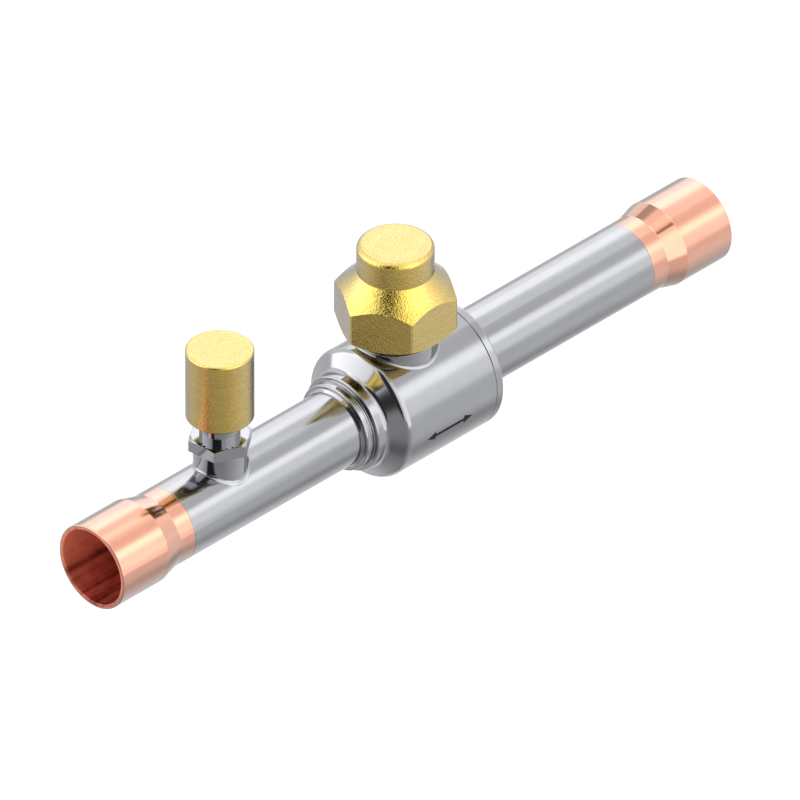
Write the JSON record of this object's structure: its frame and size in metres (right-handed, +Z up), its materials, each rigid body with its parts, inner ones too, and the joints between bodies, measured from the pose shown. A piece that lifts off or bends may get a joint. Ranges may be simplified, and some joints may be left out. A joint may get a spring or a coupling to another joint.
{
  "type": "refrigerant service valve",
  "caption": "Quarter-turn ball valve for a refrigerant line with flared copper solder ends, a hexagon seal cap over its stem and a capped access port.",
  "frame": {"origin": "centre of the inlet solder socket's mouth, on the pipe axis", "axes": "+X along the pipe from the inlet to the outlet, +Z up along the stem from the ball to the seal cap"},
  "size_m": [0.1703, 0.028, 0.05],
  "materials": {
    "copper": "bright drawn copper",
    "steel_tube": "satin drawn tube",
    "plated_steel": "bright plated and polished",
    "plated_ball": "polished plating",
    "stem_steel": "turned steel",
    "cap_brass": "cast skin with a fine pebble grain",
    "core_brass": "turned brass",
    "seat_polymer": "waxy fluoropolymer",
    "ring_rubber": "smooth black rubber"
  },
  "bodies": {
    "valve_line": {"inlet_copper_socket": "copper", "outlet_copper_socket": "copper", "inlet_tube": "steel_tube", "outlet_tube": "steel_tube", "inlet_end_piece": "plated_steel", "outlet_end_piece": "plated_steel", "valve_barrel": "plated_steel", "stem_neck": "plated_steel", "inlet_seat": "seat_polymer", "outlet_seat": "seat_polymer", "inlet_seat_ring": "ring_rubber", "outlet_seat_ring": "ring_rubber", "stem_thrust_washer": "seat_polymer", "access_port": "plated_steel", "valve_core_body": "core_brass", "valve_core_seal": "seat_polymer", "valve_core_spring": "stem_steel"},
    "stem_and_ball": {"ball": "plated_ball", "stem": "stem_steel", "stem_stop_pin": "stem_steel", "lower_stem_ring": "ring_rubber", "upper_stem_ring": "ring_rubber"},
    "seal_cap_washer": {"seal_cap_gasket": "seat_polymer"},
    "seal_cap_body": {"seal_cap": "cap_brass"},
    "access_cap_washer": {"access_cap_seal": "ring_rubber"},
    "access_cap_body": {"access_cap": "cap_brass"},
    "core_pin": {"valve_core_pin": "core_brass", "valve_core_pin_seal": "ring_rubber"}
  },
  "joints": [
    {"name": "stem_turn", "type": "hinge", "parent": "valve_line", "child": "stem_and_ball", "pos_m": [0.0845, 0, 0], "axis": [0, 0, -1], "range_deg": [0, 90]},
    {"name": "seal_cap_lift", "type": "slide", "parent": "valve_line", "child": "seal_cap_washer", "axis": [0, 0, 1], "range_m": [0, 0.0075]},
    {"name": "seal_cap_turn", "type": "hinge", "parent": "seal_cap_washer", "child": "seal_cap_body", "pos_m": [0.0845, 0, 0.017], "axis": [0, 0, 1], "range_deg": [0, 1800]},
    {"name": "access_cap_lift", "type": "slide", "parent": "valve_line", "child": "access_cap_washer", "axis": [0, 0, 1], "range_m": [0, 0.01016]},
    {"name": "access_cap_turn", "type": "hinge", "parent": "access_cap_washer", "child": "access_cap_body", "pos_m": [0.0356, 0, 0.0189], "axis": [0, 0, 1], "range_deg": [0, 2880]},
    {"name": "core_pin_press", "type": "slide", "parent": "valve_line", "child": "core_pin", "axis": [0, 0, -1], "range_m": [0, 0.0012], "stiffness_N_per_m": 1000, "deforming": ["valve_core_spring"]}
  ],
  "couplings": [
    {"joint": "seal_cap_lift", "follows": "seal_cap_turn", "m_per_rad": 0.00023873},
    {"joint": "access_cap_lift", "follows": "access_cap_turn", "m_per_rad": 0.00020212}
  ]
}
